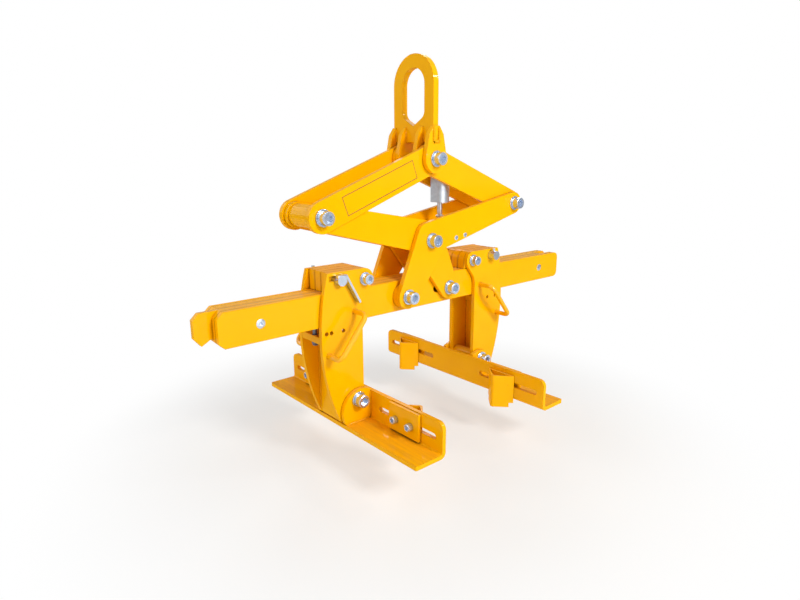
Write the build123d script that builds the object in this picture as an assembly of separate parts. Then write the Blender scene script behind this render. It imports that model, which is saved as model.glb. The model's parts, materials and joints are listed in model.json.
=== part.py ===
from build123d import *
import math
import os

# Scissor lifter for lattice paving blocks, at its real size in millimetres.
# X runs along the beams, -Y is the front, +Z is up, and the origin is the crown of the lifting eye,
# where the whole lifter hangs. Every plate lies in an X-Z plane and is stacked along Y.

# Stock and running gaps
bar_height = 75.0  # flat bar of the two beams
bar_thickness = 12.0
plate_thickness = 12.0  # arms, levers and lugs
cheek_thickness = 10.0  # side plates of the jaws
side_gap = 0.5  # between neighbouring plates that turn or slide
pin_fit = 0.05  # radial clearance of a bolt in its hole
slot_fit = 0.3  # radial clearance of a bolt in a slot

# Lifting eye, with the slot's crown at the origin
eye_thickness = 16.0
eye_width = 140.0
eye_wall = 31.0  # beside and above the slot
eye_slot_straight = 98.0  # crown down to where the slot's corners end
eye_slot_depth = 131.0  # crown down to the slot's pointed foot
eye_corner_radius = 20.0
eye_tip_radius = 6.0
lug_top = 133.0  # crown down to the tops of the lugs
lug_shoulder = 150.0
lug_shoulder_half = 23.0
lug_top_half = 11.0
lug_seat = 36.0  # how deep the eye sits in the slots of the lugs
lug_radius = 34.0

# Linkage, as pin centres in the pose of the model
top_pin_drop = 208.0  # eye crown down to the top pin
side_span = 313.0  # mid-plane to a side pin
arm_drop = 118.5  # top pin down to the side pins
lever_drop = 75.5  # side pins down to the middle pivot
leg_drop = 130.0  # middle pivot down to the lower pins
leg_spread = 76.0  # mid-plane to a lower pin
fold_limit = 4.5  # degrees that an arm turns each way

arm_radius = 34.0
lever_tip_radius = 29.0
lever_foot_radius = 30.0
lever_hub_radius = 34.0
lever_heel_radius = 30.0
lever_heel = (-15.4, 14.1)  # heel centre from the middle pivot
lever_elbow = (43.0, -22.0)  # inner corner of the knee, from the middle pivot
lever_elbow_radius = 3.0
tube_diameter = 50.0
tube_gap = 0.3

# Beams
left_beam_end = 546.0  # mid-plane to the left ends of the left beam's bars
left_rack_end = 584.0
outer_reach = 574.0  # mid-plane to the right ends of the face and filler bars
rack_reach = 526.0
right_beam_end = 543.0  # mid-plane to the left ends of the right beam's bars
end_chamfer = 13.0
end_radius = 15.0
bar_edge = 1.3  # chamfer along a bar's edges
notch_pitch = 40.0
notch_slope = 30.0  # degrees, flank of a notch
rack_lift = 8.0  # tips of the teeth above the lower edges of the other bars
rack_end_slant = 17.0  # height of the slanted lower corner at the free end of the left rack
outer_notches = 6  # outwards from the notch where the jaw stands
inner_notches = 3
beam_screws = (-454.5, 480.0)  # countersunk screws through the front bar
beam_screw_hole = 10.2
beam_screw_sink = 20.8

# Jaws, each drawn about its own pad pivot with the outside towards -X
left_jaw_place = -230.0
right_jaw_place = 200.0
jaw_drop = 222.0  # beam centre line down to the pad pivot
jaw_top = 84.0  # all heights here are from the beam centre line
jaw_top_out = 68.0
jaw_bulge = (88.5, -54.0)
jaw_foot_out = 44.0
jaw_foot_gap = 8.0  # bottom of the cheeks above the pad
jaw_inner = 24.0
jaw_nose = 57.0
jaw_nose_low = 52.0
jaw_neck = 8.0
nose_radius = 24.0
nose_under_radius = 20.0
neck_radius = 40.0
foot_radius = 12.0
block_out = 63.0
block_lift = 0.5  # blocks above the beams
block_chamfer = 1.8
web_out = 44.0
web_thickness = 10.0
cross_top = -58.5
cross_thickness = 16.0
cross_out = 88.0
cross_in = 30.0
cheek_hole_diameter = 9.5
cheek_hole_height = -51.0
cheek_holes = (30.0, 62.0, 75.0)
pivot_tube_diameter = 36.0
handle_diameter = 12.0
handle_reach = 46.0
handle_bend = 16.0
handle_upper = (2.0, -11.0)
handle_lower = (-71.0, -102.0)

# Rack plunger of a jaw
plunger_out = 80.0
plunger_radius = 5.0
plunger_gap = 0.4  # between the tip and the notch
plunger_body_radius = 7.0
plunger_collar_height = 4.0
plunger_collar_size = 15.0
plunger_knob_radius = 6.5
plunger_knob_height = 5.0

# Locking cam of a jaw
cam_out = 39.0
cam_height = 67.0
cam_shaft_radius = 12.0
cam_tip_radius = 5.0
cam_gap = 0.3
cam_turn = 35.0
cam_front = 16.0  # shaft past the front cheek
cam_rear = 21.0
cam_lever_length = 78.0
cam_lever_back = 5.0
cam_lever_thickness = 5.0
cam_lever_width = 15.0
cam_lever_rear_corner = 8.0
cam_lever_front_corner = 2.0
cam_lever_angle = -61.0
roll_pin_radius = 4.0
roll_pin_rise = 6.0  # above the shaft
roll_pin_inset = 11.0
keyhole_out = 64.0  # slot beside the shaft in the cheek on the lever's side
keyhole_height = 71.0
keyhole_width = 12.0

# Pads
pad_half_length = 300.0
pad_height = 80.0
pad_width = 84.0
pad_thickness = 10.0
pad_bend = 4.0  # inside radius of the fold
pad_corner = 16.0
pad_flange_corner = 4.0
pad_setback = 45.0  # pivot to the gripping face
pivot_height = 66.0  # pad underside to the pivot
pad_lug_thickness = 10.0
pad_lug_radius = 52.5
pad_lug_centre = (8.0, -28.0)  # from the pivot
slot_start = 90.0  # from the middle of the pad
slot_margin = 20.0  # end of the pad to the slot
slot_play = 0.5  # above and below the clamp screws
slot_rise = 43.0  # pad underside to the slot's centre line

# Sliding feet and their clamps
left_front_inset = 116.0  # end of the pad to the middle of a foot
left_rear_inset = 120.0
right_front_inset = 132.0
right_rear_inset = 103.0
foot_thickness = 6.0
foot_half_width = 42.0
foot_depth = 38.0
foot_apex_radius = 9.0
foot_top_gap = 12.0  # below the top of the pad
foot_reach = 18.0  # below the underside of the pad
foot_relief = 9.0  # cut away beside the pad's face, below the pad
foot_gap = 0.2  # foot and clamp to the pad
clamp_half_length = 50.0
clamp_thickness = 8.0
clamp_top_gap = 2.0
clamp_foot_gap = 4.0
clamp_bolt_pitch = 50.0

# Automatic latch between the right arms
latch_out = 85.0
latch_plate_drop = 32.0  # top pin down to the upper face of the carrier plate
latch_plate_thickness = 12.0
latch_plate_half = 35.0
latch_body_radius = 24.0
latch_flat = 19.0
latch_body_height = 64.0
latch_rod_radius = 6.5
latch_rod_length = 32.0
latch_rod_inside = 25.0
latch_travel = 25.0
latch_tip_radius = 10.5
latch_tip_height = 11.0
latch_tip_band = (2.2, 4.4)  # widest part of the tip, below the rod's end
latch_tip_end = 4.0
catch_out = 102.0
catch_rise = 1.0  # above the middle pivot
catch_half = 26.0
catch_height = 16.0
catch_slot_length = 32.0
catch_slot_width = 26.0
catch_slot_shift = -3.5
catch_screws = ((86.0, -1.0), (118.6, 3.3))  # from the middle pivot
catch_screw_hole = 6.2
catch_screw_sink = 11.6

# Socket screws as (shank, head diameter, head height, socket, washer diameter, washer, nut, nut height)
M20 = (20.0, 30.0, 20.0, 17.0, 37.0, 3.0, 30.0, 16.0)
M16 = (16.0, 24.0, 16.0, 14.0, 30.0, 3.0, 24.0, 13.0)
M12 = (12.0, 18.0, 12.0, 10.0)
socket_share = 0.55  # depth of a socket in its head
head_chamfer = 1.0
thread_tail = 4.0  # shank past the nut
nut_chamfer = 1.6

# Places that follow from the sizes above
stack_half = 3 * bar_thickness
inner_y = stack_half + side_gap
top_z = -top_pin_drop
side_z = top_z - arm_drop
middle_z = side_z - lever_drop
beam_z = middle_z - leg_drop
pivot_z = beam_z - jaw_drop
pad_low = pivot_z - pivot_height
pad_floor = pad_low + pad_thickness  # upper face of the horizontal flange
pad_top = pad_low + pad_height
pad_back = pad_setback - pad_thickness  # outer face of the vertical flange
beam_top = beam_z + bar_height / 2
beam_low = beam_z - bar_height / 2
hole_radius = M20[0] / 2 + pin_fit
pitch_y = plate_thickness + side_gap
lug_low_y = inner_y - pitch_y  # inner lug beside the beam's width
cheek_y = inner_y + cheek_thickness
rack_mid_y = -bar_thickness / 2  # middle of the left beam's rack bar
notch_depth = notch_pitch / 2 * math.tan(math.radians(notch_slope))
cam_offset = cam_height - bar_height / 2 - cam_gap - cam_tip_radius  # shaft's axis to the tip's centre

# Turning of an arm and of its lever about the pins
arm_length = math.hypot(side_span, arm_drop)
lever_length = math.hypot(side_span, lever_drop)
arm_slope = math.degrees(math.atan2(arm_drop, side_span))
lever_slope = math.degrees(math.atan2(lever_drop, side_span))
lever_ratio = arm_drop / lever_drop  # turn of a lever per turn of its arm


def middle_slip(fold):
    """Sideways distance of one lever's hub from the mid-plane when the arms turn by fold degrees."""
    arm = math.radians(arm_slope + fold)
    lever = math.radians(lever_slope + lever_ratio * fold)
    return lever_length * math.cos(lever) - arm_length * math.cos(arm)


def lower_pin_shift(fold):
    """Outward move of a lower pin when the arms turn by fold degrees."""
    turn = math.radians(lever_ratio * fold)
    swung = leg_spread * math.cos(turn) - leg_drop * math.sin(turn)
    return middle_slip(fold) + swung - leg_spread


hub_slack = 2 * max(abs(middle_slip(fold_limit)), abs(middle_slip(-fold_limit)))


def plate(profile, low, high):
    """Extrude an X-Z profile from one Y plane to another."""
    return extrude(Plane.XZ.offset(-high) * profile, high - low)


def disc(x, z, radius, low, high):
    """Cylinder along Y."""
    return plate(Pos(x, z) * Circle(radius), low, high)


def hull(*discs):
    """Convex outline round discs given as (x, z, radius)."""
    rims = [edge for x, z, radius in discs for edge in (Pos(x, z) * Circle(radius)).edges()]
    return make_hull(rims)


def drilled(profile, radius, *places):
    """Profile with round holes at (x, z) places."""
    for x, z in places:
        profile -= Pos(x, z) * Circle(radius)
    return profile


def both_sides(solid):
    """A front piece and its twin at the rear."""
    return [mirror(solid, about=Plane.XZ), solid]


def layer(profile, step):
    """Front and rear plates of one layer, counted outwards from the beams' sides."""
    low = inner_y + step * pitch_y
    return both_sides(plate(profile, low, low + plate_thickness))


def socket_screw(size, x, z, head_y, end_y):
    """Socket screw along Y with its head at the front, seated at head_y."""
    shank, head, height, socket = size[:4]
    body = disc(x, z, head / 2, head_y - height, head_y)
    body = chamfer(body.edges().sort_by(Axis.Y)[0], head_chamfer)
    body += disc(x, z, shank / 2, head_y, end_y)
    key = Pos(x, z) * RegularPolygon(socket / 2, 6, major_radius=False)
    return body - plate(key, head_y - height, head_y - height + height * socket_share)


def through_bolt(size, x, z, grip):
    """Socket screw through a stack of half width grip, with its washers and nut."""
    shank, head, height, socket, washer, washer_thickness, nut, nut_height = size
    bore = shank / 2 + pin_fit
    seat = grip + washer_thickness
    ring = disc(x, z, washer / 2, grip, seat) - disc(x, z, bore, grip, seat)
    hexagon = Pos(x, z) * RegularPolygon(nut / 2, 6, major_radius=False)
    nut_solid = plate(hexagon - Pos(x, z) * Circle(bore), seat, seat + nut_height)
    rim = disc(x, z, nut / math.sqrt(3), seat, seat + nut_height)
    nut_solid &= chamfer(rim.edges().filter_by(GeomType.CIRCLE), nut_chamfer)
    screw = socket_screw(size, x, z, -seat, seat + nut_height + thread_tail)
    return [screw, *both_sides(ring), nut_solid]


def sunk(solid, x, z, face, hole, sink):
    """Drill a countersunk screw hole inwards from an outer face."""
    foot = (Align.CENTER, Align.CENTER, Align.MIN)
    cutter = Cone(sink / 2, hole / 2, (sink - hole) / 2, align=foot)
    cutter += Cylinder(hole / 2, plate_thickness, align=foot)
    return solid - Pos(x, face, z) * Rot(math.copysign(90, face), 0, 0) * cutter


def sleeve(x, z, outer, bore, half_length):
    """Tube along Y, centred on the mid-plane."""
    profile = Pos(x, z) * Circle(outer) - Pos(x, z) * Circle(bore)
    return plate(profile, -half_length, half_length)


def save(node, *shapes):
    """Write the solids of one node to its own file."""
    solids = [solid for shape in shapes for solid in shape.solids()]
    export_step(solids[0] if len(solids) == 1 else Compound(children=solids), f"parts/{node}.step")


def save_pair(node, shapes):
    """Write a front and a rear piece to two files."""
    for name, shape in zip(("front", "rear"), shapes):
        save(f"{node}_{name}", shape)


def lifting_head():
    """Slotted eye plate standing in four lugs on the top bolt."""
    slot_half = eye_width / 2 - eye_wall
    round_z = -slot_half
    foot_z = -lug_top - lug_seat
    lug_face = inner_y + 2 * pitch_y + plate_thickness
    outline = Pos(0, round_z) * Circle(eye_width / 2)
    outline += Pos(0, (round_z + foot_z) / 2) * Rectangle(eye_width, round_z - foot_z)
    outline += Pos(0, -lug_top - lug_seat / 2) * Rectangle(2 * lug_face, lug_seat)
    corner = slot_half - eye_corner_radius
    outline -= hull(
        (0, round_z, slot_half),
        (-corner, -eye_slot_straight, eye_corner_radius),
        (corner, -eye_slot_straight, eye_corner_radius),
        (0, eye_tip_radius - eye_slot_depth, eye_tip_radius),
    )
    save("eye_plate", extrude(Plane.YZ.offset(-eye_thickness / 2) * outline, eye_thickness))

    rounding = 3.0
    lug = hull(
        (0, top_z, lug_radius),
        (rounding - lug_shoulder_half, -lug_shoulder - rounding, rounding),
        (lug_shoulder_half - rounding, -lug_shoulder - rounding, rounding),
        (rounding - lug_top_half, -lug_top - rounding, rounding),
        (lug_top_half - rounding, -lug_top - rounding, rounding),
    )
    lug -= Pos(0, -lug_top - lug_seat / 2) * Rectangle(eye_thickness, lug_seat)
    lug = drilled(lug, hole_radius, (0, top_z))
    save("head_lugs", *layer(lug, -1), *layer(lug, 2))
    save("top_bolt", *through_bolt(M20, 0, top_z, lug_face))


def arm_profile(side):
    """Straight link from the top pin to a side pin."""
    bar = hull((0, top_z, arm_radius), (side * side_span, side_z, arm_radius))
    return drilled(bar, hole_radius, (0, top_z), (side * side_span, side_z))


def lever_profile(side, hub_hole):
    """Bent lever from a side pin over the middle pivot to the lower pin on the other side."""
    tip = (side * side_span, side_z)
    foot = (-side * leg_spread, beam_z)
    heel = (side * lever_heel[0], middle_z + lever_heel[1], lever_heel_radius)
    elbow = (side * lever_elbow[0], middle_z + lever_elbow[1], lever_elbow_radius)
    outline = hull((*tip, lever_tip_radius), heel, (0, middle_z, lever_hub_radius))
    outline += hull(heel, (*foot, lever_foot_radius), elbow)
    outline = drilled(outline, hole_radius, tip, foot)
    return drilled(outline, hub_hole, (0, middle_z))


def scissors():
    """Arms, levers, spacer tubes and pivot bolts."""
    tube_bore = M20[0] / 2 + pin_fit
    tube_half = inner_y - tube_gap
    outer = inner_y + pitch_y + plate_thickness
    save_pair("left_arm", layer(arm_profile(-1), 1))
    save("left_tube", sleeve(-side_span, side_z, tube_diameter / 2, tube_bore, tube_half))
    save("left_bolt", *through_bolt(M20, -side_span, side_z, outer))
    save_pair("right_arm", layer(arm_profile(1), 0))
    save_pair("left_lever", layer(lever_profile(-1, hole_radius + hub_slack), 0))
    save("lower_right_bolt", *through_bolt(M20, leg_spread, beam_z, inner_y + plate_thickness))
    levers = layer(lever_profile(1, hole_radius), 1)
    for x, rise in catch_screws:
        for number, face in enumerate((-outer, outer)):
            place = (x, middle_z + rise, face)
            levers[number] = sunk(levers[number], *place, catch_screw_hole, catch_screw_sink)
    save_pair("right_lever", levers)
    save("right_tube", sleeve(side_span, side_z, tube_diameter / 2, tube_bore, tube_half))
    save("right_bolt", *through_bolt(M20, side_span, side_z, outer))
    save("middle_tube", sleeve(0, middle_z, tube_diameter / 2, tube_bore, tube_half))
    save("middle_bolt", *through_bolt(M20, 0, middle_z, outer))
    save("lower_left_bolt", *through_bolt(M20, -leg_spread, beam_z, outer))
    ring = Pos(-leg_spread, beam_z) * (Circle(lever_foot_radius) - Circle(tube_bore))
    ring_low = inner_y + tube_gap - side_gap
    save("lower_left_rings", *both_sides(plate(ring, ring_low, inner_y + pitch_y)))


def latch():
    """Sprung latch rod hanging from the right arms, and its catch on the right levers."""
    plate_low = top_z - latch_plate_drop - latch_plate_thickness
    body_low = plate_low - latch_body_height
    carrier = Pos(latch_out, 0, plate_low) * Box(
        2 * latch_plate_half, 2 * inner_y, latch_plate_thickness, align=(Align.CENTER, Align.CENTER, Align.MIN)
    )
    save("latch_carrier", carrier)

    rim = Circle(latch_body_radius) & Rectangle(2 * latch_flat, 2 * latch_body_radius)
    bore_depth = latch_rod_inside + latch_travel + slot_fit
    body = extrude(rim, latch_body_height) - extrude(Circle(latch_rod_radius + pin_fit), bore_depth)
    save("latch_body", Pos(latch_out, 0, body_low) * body)

    low = -latch_rod_length - latch_tip_height
    outline = Polyline(
        (0, latch_rod_inside),
        (latch_rod_radius, latch_rod_inside),
        (latch_rod_radius, -latch_rod_length),
        (latch_tip_radius, -latch_rod_length - latch_tip_band[0]),
        (latch_tip_radius, -latch_rod_length - latch_tip_band[1]),
        (latch_tip_end, low),
        (0, low),
        close=True,
    )
    rod = revolve(Plane.XZ * make_face(outline), Axis.Z)
    save("latch_rod", Pos(latch_out, 0, body_low) * rod)

    half = inner_y + pitch_y
    bar = Rectangle(2 * catch_half, 2 * half)
    bar -= Pos(catch_slot_shift, 0) * SlotOverall(catch_slot_length, catch_slot_width)
    bar = extrude(bar, catch_height)
    save("latch_catch", Pos(catch_out, 0, middle_z + catch_rise - catch_height / 2) * bar)


def bar_profile(left, right, pin_x):
    """Beam bar with a pin hole on its own side and a slot for the other beam's pin."""
    outline = Pos((left + right) / 2, beam_z) * Rectangle(right - left, bar_height)
    ends = outline.vertices().sort_by(Axis.X)
    outline = chamfer(ends[:2], end_chamfer)
    outline = fillet(outline.vertices().sort_by(Axis.X)[-2:], end_radius)
    outline = drilled(outline, hole_radius, (pin_x, beam_z))
    outward = 1 if pin_x < 0 else -1
    slot_ends = [-pin_x + outward * 2 * lower_pin_shift(fold) for fold in (fold_limit, -fold_limit)]
    pin_slot = M20[0] + 2 * slot_fit
    slot_span = abs(slot_ends[0] - slot_ends[1]) + pin_slot
    return outline - Pos(sum(slot_ends) / 2, beam_z) * SlotOverall(slot_span, pin_slot)


def notched(profile, place, outward):
    """Cut the rack's notches into the lower edge, counted from the one at place."""
    half = notch_pitch / 2
    tips = beam_low + rack_lift
    for number in range(-inner_notches, outer_notches + 1):
        x = place + outward * number * notch_pitch
        profile -= make_face(
            Polyline(
                (x - half, beam_low),
                (x - half, tips),
                (x, tips + notch_depth),
                (x + half, tips),
                (x + half, beam_low),
                close=True,
            )
        )
    return profile


def slanted(profile, tip_x):
    """Slant the lower corner of the left rack from its end down to the last tooth."""
    tips = beam_low + rack_lift
    end = -left_rack_end
    return profile - make_face(
        Polyline((end, beam_low), (end, tips + rack_end_slant), (tip_x, tips), (tip_x, beam_low), close=True)
    )


def beams():
    """Two sliding beams of three bars each, the left one in front."""
    left_notch = left_jaw_place - plunger_out
    right_notch = right_jaw_place + plunger_out
    last_tip = left_notch - (outer_notches + 0.5) * notch_pitch
    bars = {
        "left_beam_face_bar": bar_profile(-left_beam_end, outer_reach, -leg_spread),
        "left_beam_filler_bar": bar_profile(-left_beam_end, outer_reach, -leg_spread),
        "left_beam_rack_bar": bar_profile(-left_rack_end, rack_reach, -leg_spread),
        "right_beam_rack_bar": bar_profile(-right_beam_end, rack_reach, leg_spread),
        "right_beam_filler_bar": bar_profile(-right_beam_end, outer_reach, leg_spread),
        "right_beam_face_bar": bar_profile(-right_beam_end, outer_reach, leg_spread),
    }
    bars["left_beam_rack_bar"] = slanted(notched(bars["left_beam_rack_bar"], left_notch, -1), last_tip)
    bars["right_beam_rack_bar"] = notched(bars["right_beam_rack_bar"], right_notch, 1)
    for number, (node, profile) in enumerate(bars.items()):
        low = number * bar_thickness - stack_half
        bar = plate(profile, low, low + bar_thickness)
        edges = bar.edges().filter_by(Axis.X).sort_by(Axis.Z)
        bar = chamfer(edges[-2:] if "rack" in node else edges[:2] + edges[-2:], bar_edge)
        for x in beam_screws:
            if node == "left_beam_face_bar":
                bar = sunk(bar, x, beam_z, -stack_half, beam_screw_hole, beam_screw_sink)
            if node == "right_beam_face_bar":
                bar = sunk(bar, -x, beam_z, stack_half, beam_screw_hole, beam_screw_sink)
        save(node, bar)


def cam_point(turn, distance):
    """Point at a distance from the shaft's axis, turned outwards from straight down."""
    angle = math.radians(turn)
    return (-cam_out - distance * math.sin(angle), beam_z + cam_height - distance * math.cos(angle))


def cam_profile(turn, clearance):
    """Outline of the cam's lobe, turned outwards from where it stands on the beam."""
    shaft = (*cam_point(0, 0), cam_shaft_radius + clearance)
    return hull(shaft, (*cam_point(turn, cam_offset), cam_tip_radius + clearance))


def cam_room():
    """Room that the lobe sweeps through in the middle block."""
    reach = cam_offset + cam_tip_radius + cam_gap
    rim = [cam_point(turn, reach) for turn in (0, cam_turn / 2, cam_turn)]
    axis = cam_point(0, 0)
    sector = make_face([Line(axis, rim[0]), ThreePointArc(*rim), Line(rim[2], axis)])
    return cam_profile(0, cam_gap) + cam_profile(cam_turn, cam_gap) + sector


def cheek_profile(keyed):
    """Side plate: bowed outside, drawn-in neck under the nose, straight inside edge."""
    foot = pad_floor + jaw_foot_gap
    inside = FilletPolyline(
        (-jaw_top_out, beam_z + jaw_top),
        (jaw_nose, beam_z + jaw_top),
        (jaw_nose, beam_z + jaw_nose_low),
        (jaw_inner, beam_z + jaw_neck),
        (jaw_inner, foot),
        (-jaw_foot_out, foot),
        radius=[nose_radius, nose_under_radius, neck_radius, foot_radius],
    )
    outside = ThreePointArc(
        (-jaw_foot_out, foot), (-jaw_bulge[0], beam_z + jaw_bulge[1]), (-jaw_top_out, beam_z + jaw_top)
    )
    outline = make_face(inside.edges() + outside.edges())
    outline = drilled(outline, hole_radius, (0, pivot_z))
    outline = drilled(outline, M16[0] / 2 + pin_fit, nose_bolt())
    outline = drilled(outline, cam_shaft_radius + pin_fit, (-cam_out, beam_z + cam_height))
    if keyed:
        length = keyhole_out - cam_out
        outline -= Pos(-cam_out - length / 2, beam_z + keyhole_height) * Rectangle(length, keyhole_width)
    hole_z = beam_z + cheek_hole_height
    return drilled(outline, cheek_hole_diameter / 2, *[(-x, hole_z) for x in cheek_holes])


def nose_bolt():
    """Place of the bolt through the blocks, at the centre of the nose's rounding."""
    return (jaw_nose - nose_radius, beam_z + jaw_top - nose_radius)


def jaw_blocks():
    """Three blocks that ride on the beams, the middle one with room for the cam."""
    width = 2 * inner_y / 3
    low = beam_top + block_lift
    high = beam_z + jaw_top
    outline = Pos((jaw_nose - block_out) / 2, (low + high) / 2) * Rectangle(jaw_nose + block_out, high - low)
    outline = fillet(outline.vertices().sort_by(Axis.X)[-2:].sort_by(Axis.Y)[-1], nose_radius)
    blocks = []
    for number in range(3):
        start = number * width - inner_y
        block = plate(outline, start, start + width)
        rims = block.faces().sort_by(Axis.Y)
        block = chamfer(rims[0].edges() + rims[-1].edges(), block_chamfer)
        block -= disc(*nose_bolt(), M16[0] / 2 + pin_fit, start, start + width)
        block -= disc(-cam_out, beam_z + cam_height, cam_shaft_radius + pin_fit, start, start + width)
        if number == 1:
            block -= plate(cam_room(), start, cam_gap)
        blocks.append(block)
    return blocks


def jaw_web():
    """Web between the cheeks, cross plate under the beam and tube on the pad bolt."""
    cross_low = beam_z + cross_top - cross_thickness
    foot = pad_floor + jaw_foot_gap
    cross = Pos(-(cross_out + cross_in) / 2, cross_low + cross_thickness / 2)
    cross = plate(cross * Rectangle(cross_out - cross_in, cross_thickness), -inner_y, inner_y)
    bore = Cylinder(plunger_body_radius, 3 * cross_thickness)
    cross -= Pos(-plunger_out, rack_mid_y, cross_low) * bore
    web = Pos(web_thickness / 2 - web_out, (cross_low + foot) / 2) * Rectangle(web_thickness, cross_low - foot)
    tube = sleeve(0, pivot_z, pivot_tube_diameter / 2, M20[0] / 2 + pin_fit, inner_y)
    return [cross, plate(web, -inner_y, inner_y), tube]


def jaw_handles():
    """Bent bar handle on each cheek."""
    face = -cheek_y
    far = face - handle_reach
    upper = (handle_upper[0], beam_z + handle_upper[1])
    lower = (handle_lower[0], beam_z + handle_lower[1])
    path = FilletPolyline(
        (upper[0], face, upper[1]),
        (upper[0], far, upper[1]),
        (lower[0], far, lower[1]),
        (lower[0], face, lower[1]),
        radius=handle_bend,
    )
    section = Plane(origin=path @ 0, z_dir=path % 0) * Circle(handle_diameter / 2)
    return both_sides(sweep(section, path=path))


def plunger():
    """Sprung rack plunger: its screwed body with a lock nut, and the moving pin."""
    place = Pos(-plunger_out, rack_mid_y, beam_z)
    cross_low = cross_top - cross_thickness
    collar_low = cross_low - plunger_collar_height
    bore = Circle(plunger_radius + pin_fit)
    body = Pos(0, 0, cross_low) * extrude(Circle(plunger_body_radius) - bore, cross_thickness)
    hexagon = RegularPolygon(plunger_collar_size / 2, 6, major_radius=False) - bore
    body += Pos(0, 0, collar_low) * extrude(hexagon, plunger_collar_height)

    slope = math.radians(notch_slope)
    tip = rack_lift + notch_depth - plunger_gap / math.cos(slope) - bar_height / 2
    shoulder = tip - plunger_radius * math.tan(slope)
    knob_top = collar_low - cam_gap
    knob_low = knob_top - plunger_knob_height
    outline = Polyline(
        (0, tip),
        (plunger_radius, shoulder),
        (plunger_radius, knob_top),
        (plunger_knob_radius, knob_top),
        (plunger_knob_radius, knob_low),
        (0, knob_low),
        close=True,
    )
    pin = revolve(Plane.XZ * make_face(outline), Axis.Z)
    return place * body, place * pin


def lock_cam():
    """Cam shaft across the jaw with its flat lever in front and a roll pin behind."""
    x, z = -cam_out, beam_z + cam_height
    front = -cheek_y - cam_front
    rear = cheek_y + cam_rear
    shaft = disc(x, z, cam_shaft_radius, front, rear)
    shaft += plate(cam_profile(0, 0), cam_gap - bar_thickness, -cam_gap)
    tip = cam_lever_length - cam_lever_back
    flat = Pos(tip - cam_lever_length / 2, cam_lever_width / 2)
    flat = flat * Rectangle(cam_lever_length, cam_lever_width)
    flat = fillet(flat.vertices().sort_by_distance((tip, cam_lever_width))[0], cam_lever_rear_corner)
    flat = fillet(flat.vertices().sort_by_distance((tip, 0))[0], cam_lever_front_corner)
    bar = Pos(0, 0, cam_shaft_radius - cam_gap) * extrude(flat, cam_lever_thickness)  # bites into the shaft
    shaft += Pos(x, front, z) * Rot(0, -cam_lever_angle, 0) * bar
    upright = (Align.CENTER, Align.CENTER, Align.MIN)
    pin = Cylinder(roll_pin_radius, cam_shaft_radius + roll_pin_rise, align=upright)
    return shaft + Pos(x, rear - roll_pin_inset, z) * pin


def pad_angle():
    """Folded angle with rounded upper corners and two long slots."""
    upright = Pos(pad_setback - pad_thickness / 2, pad_low + pad_height / 2)
    outline = upright * Rectangle(pad_thickness, pad_height)
    flange = Pos(pad_setback - pad_width / 2, pad_low + pad_thickness / 2)
    outline += flange * Rectangle(pad_width, pad_thickness)
    fold = outline.vertices().sort_by_distance((pad_setback, pad_low))[0]
    outline = fillet(fold, pad_bend + pad_thickness)
    crease = outline.vertices().sort_by_distance((pad_back, pad_floor))[0]
    outline = fillet(crease, pad_bend)
    pad = plate(outline, -pad_half_length, pad_half_length)
    pad = fillet(pad.edges().filter_by(Axis.X).sort_by(Axis.Z)[-2:], pad_corner)
    pad = fillet(pad.edges().filter_by(Axis.Z).sort_by(Axis.X)[:2], pad_flange_corner)
    slot_end = pad_half_length - slot_margin
    length = slot_end - slot_start
    slot = Plane.YZ.offset(pad_back - pad_thickness) * SlotOverall(length, M12[0] + 2 * slot_play)
    slot = extrude(slot, 3 * pad_thickness)
    middle = (slot_start + slot_end) / 2
    for side in (-1, 1):
        pad -= Pos(0, side * middle, pad_low + slot_rise) * slot
    return pad


def pad_lugs():
    """Pivot lugs welded into the angle, outside the cheeks."""
    low = cheek_y + side_gap
    span = 2 * pad_lug_radius
    outline = Pos(pad_lug_centre[0], pivot_z + pad_lug_centre[1]) * Circle(pad_lug_radius)
    outline &= Pos(pad_back - span / 2, pad_floor + span / 2) * Rectangle(span, span)
    crease = outline.vertices().sort_by_distance((pad_back, pad_floor))[0]
    outline = drilled(chamfer(crease, pad_bend), hole_radius, (0, pivot_z))
    return both_sides(plate(outline, low, low + pad_lug_thickness))


def foot(middle):
    """V-shaped gripping foot on a base strip against the pad's face."""
    face = pad_setback + foot_gap
    low = pad_low - foot_reach
    high = pad_top - foot_top_gap
    small = 1.0
    inset = foot_thickness * math.hypot(foot_depth, foot_half_width) / foot_depth
    outer = hull(
        (face + small, small - foot_half_width, small),
        (face + small, foot_half_width - small, small),
        (face + foot_depth - foot_apex_radius, 0, foot_apex_radius),
    )
    inner = hull(
        (face + foot_thickness + small, small + inset - foot_half_width, small),
        (face + foot_thickness + small, foot_half_width - inset - small, small),
        (face + foot_depth - foot_apex_radius, 0, foot_apex_radius - foot_thickness),
    )
    shell = Pos(0, middle, low) * extrude(outer - inner, high - low)
    cut_height = foot_reach - foot_thickness
    relief = Pos(face + foot_relief / 2, low + cut_height / 2)
    relief = plate(
        relief * Rectangle(foot_relief, cut_height), middle - foot_half_width, middle + foot_half_width
    )
    shell -= relief
    for offset in (-clamp_bolt_pitch / 2, clamp_bolt_pitch / 2):
        bore = Cylinder(M12[0] / 2 + pin_fit, 4 * foot_thickness, rotation=(0, 90, 0))
        shell -= Pos(face, middle + offset, pad_low + slot_rise) * bore
    return shell


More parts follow.
